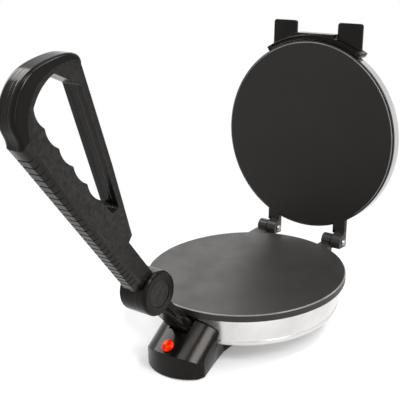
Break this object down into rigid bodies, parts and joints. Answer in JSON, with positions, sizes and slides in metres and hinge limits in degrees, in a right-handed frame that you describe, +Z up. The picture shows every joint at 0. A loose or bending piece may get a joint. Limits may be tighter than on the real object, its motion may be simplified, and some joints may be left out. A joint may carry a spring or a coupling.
{
  "type": "electric roti maker",
  "caption": "Flatbread press with two hinged non-stick hot plates on chromed pans, a pilot lamp housing and a folding D-grip press handle.",
  "frame": {"origin": "on the table directly under the middle of the lower plate, on the underside of the middle rubber foot", "axes": "+Z up, -Y towards the user and the handle, +Y towards the lid hinges, +X to the right seen from the front"},
  "size_m": [0.21, 0.4529, 0.3304],
  "materials": {
    "nonstick_plate": "matte",
    "element_tube": "satin",
    "sheet_steel": "satin",
    "chrome": "polished",
    "fasteners": "satin",
    "black_rubber": "matte",
    "gloss_black": "gloss",
    "matte_black": "fine texture",
    "grip_black": "satin ribbed",
    "red_lens": "gloss"
  },
  "bodies": {
    "base": {"lower_plate": "nonstick_plate", "lower_element": "element_tube", "lower_heat_shield": "sheet_steel", "lower_spacer": "sheet_steel", "lower_shell": "chrome", "lower_bolt": "fasteners", "thermostat": "element_tube", "cord_gland": "black_rubber", "base_housing": "gloss_black", "base_cover": "matte_black", "cover_screws": "fasteners", "rubber_feet": "black_rubber", "link_bracket": "sheet_steel", "bracket_bolts": "fasteners", "bracket_nuts": "fasteners", "link_pin": "fasteners", "indicator_lens": "red_lens", "lamp_body": "matte_black", "terminal_block": "matte_black", "hinge_pins": "chrome"},
    "lid": {"upper_plate": "nonstick_plate", "upper_element": "element_tube", "upper_heat_shield": "sheet_steel", "upper_spacer": "sheet_steel", "upper_shell": "chrome", "lid_stud": "fasteners", "lid_nut": "chrome", "lid_bracket": "gloss_black", "lid_screws": "fasteners"},
    "link": {"press_link": "gloss_black"},
    "handle": {"handle_left": "matte_black", "handle_right": "matte_black", "palm_grip": "grip_black", "barrel_pin": "fasteners", "pivot_caps": "matte_black", "handle_screws": "fasteners"}
  },
  "joints": [
    {"name": "lid_hinge", "type": "hinge", "parent": "base", "child": "lid", "pos_m": [0, 0.1155, 0.0599], "axis": [1, 0, 0], "range_deg": [0, 95.5]},
    {"name": "link_pivot", "type": "hinge", "parent": "base", "child": "link", "pos_m": [0, -0.10453, 0.03765], "axis": [-1, 0, 0], "range_deg": [0, 12]},
    {"name": "handle_pivot", "type": "hinge", "parent": "link", "child": "handle", "pos_m": [0, -0.1566, 0.0997], "axis": [-1, 0, 0], "range_deg": [0, 100]}
  ]
}
